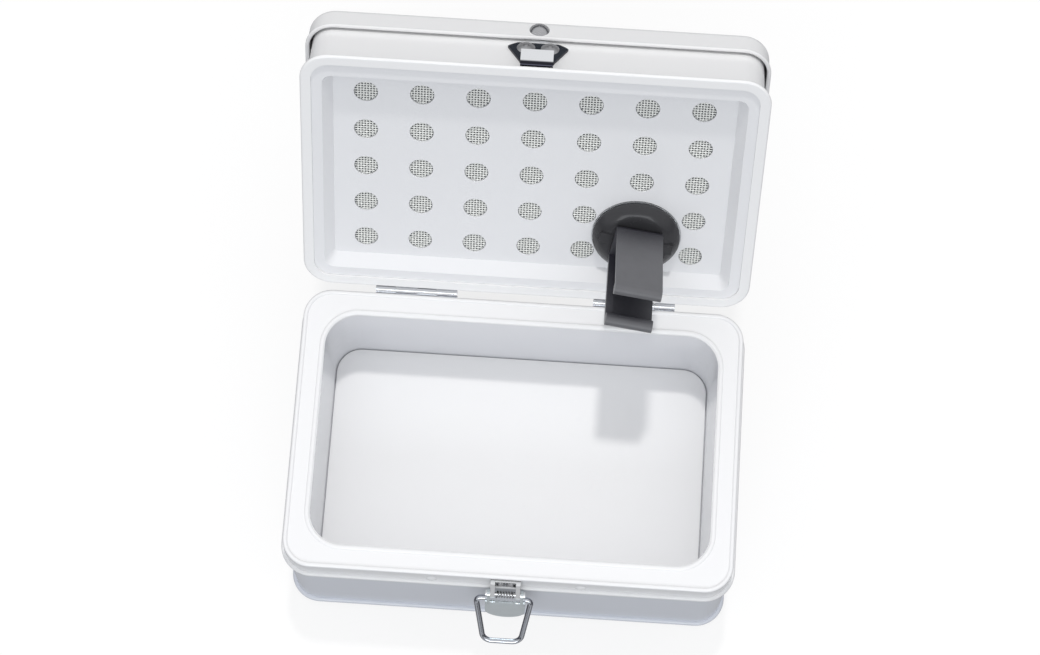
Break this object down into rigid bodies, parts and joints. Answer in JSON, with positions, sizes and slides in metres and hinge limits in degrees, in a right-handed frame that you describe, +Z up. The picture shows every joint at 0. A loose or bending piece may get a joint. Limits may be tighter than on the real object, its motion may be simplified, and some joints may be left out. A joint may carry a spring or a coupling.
{
  "type": "battery safe box",
  "caption": "Double-walled white steel box with a deep tub, hinged vented filter lid, front toggle latch and a magnetic swivel clip, for charging and storing battery packs.",
  "frame": {"origin": "middle of the base, on the surface that the box stands on", "axes": "+Z up, -Y towards the latch at the front, +X to the right of someone facing the latch"},
  "size_m": [0.205, 0.2482, 0.1881],
  "materials": {
    "white_paint": "gloss white paint",
    "insulation": "white ceramic fibre",
    "filter_felt": "grey filter felt",
    "wire_mesh": "plain woven wire",
    "hinge_steel": "zinc plated",
    "bright_plate": "bright nickel plate",
    "rivet_steel": "satin steel",
    "spring_steel": "spring wire",
    "black_base": "gloss black",
    "clear_pad": "clear",
    "grey_clip": "satin dark grey",
    "magnet": "nickel plated magnet"
  },
  "bodies": {
    "base": {"outer_shell": "white_paint", "bottom_pan": "white_paint", "rim_frame": "white_paint", "inner_tub": "white_paint", "floor_plate": "white_paint", "wall_insulation": "insulation", "floor_insulation": "insulation", "frame_rivets": "white_paint", "hinge_leaf_body_left": "hinge_steel", "hinge_leaf_body_right": "hinge_steel", "hinge_pin_left": "hinge_steel", "hinge_pin_right": "hinge_steel", "hinge_rivets_body": "hinge_steel", "latch_bracket": "bright_plate", "latch_rivets": "rivet_steel", "latch_axle": "bright_plate", "latch_spring": "spring_steel"},
    "lid": {"lid_shell": "white_paint", "filter_panel": "white_paint", "mesh_screen": "wire_mesh", "filter_pad": "filter_felt", "lid_cap": "white_paint", "cap_brackets": "white_paint", "cap_screws": "bright_plate", "strike_plate": "bright_plate", "strike_rivets": "rivet_steel", "hinge_leaf_lid_left": "hinge_steel", "hinge_leaf_lid_right": "hinge_steel", "hinge_rivets_lid": "hinge_steel"},
    "lever": {"latch_lever": "bright_plate"},
    "bail": {"latch_bail": "bright_plate"},
    "clip": {"clip_base": "black_base", "clip_pad": "clear_pad", "clip_magnet": "magnet", "spring_clip": "grey_clip", "clip_rivet": "rivet_steel"}
  },
  "joints": [
    {"name": "lid_hinge", "type": "hinge", "parent": "base", "child": "lid", "pos_m": [0, 0.06691, 0.07289], "axis": [1, 0, 0], "range_deg": [0, 119.5]},
    {"name": "latch_lever", "type": "hinge", "parent": "base", "child": "lever", "pos_m": [0, -0.06915, 0.0585], "axis": [-1, 0, 0], "range_deg": [0, 80]},
    {"name": "latch_bail", "type": "hinge", "parent": "lever", "child": "bail", "pos_m": [0, -0.07008, 0.05356], "axis": [-1, 0, 0], "range_deg": [-12, 70]},
    {"name": "clip_swivel", "type": "hinge", "parent": "lid", "child": "clip", "pos_m": [0.0485, 0.08998, 0.1011], "axis": [0, 0.8704, -0.4924], "continuous": true}
  ]
}
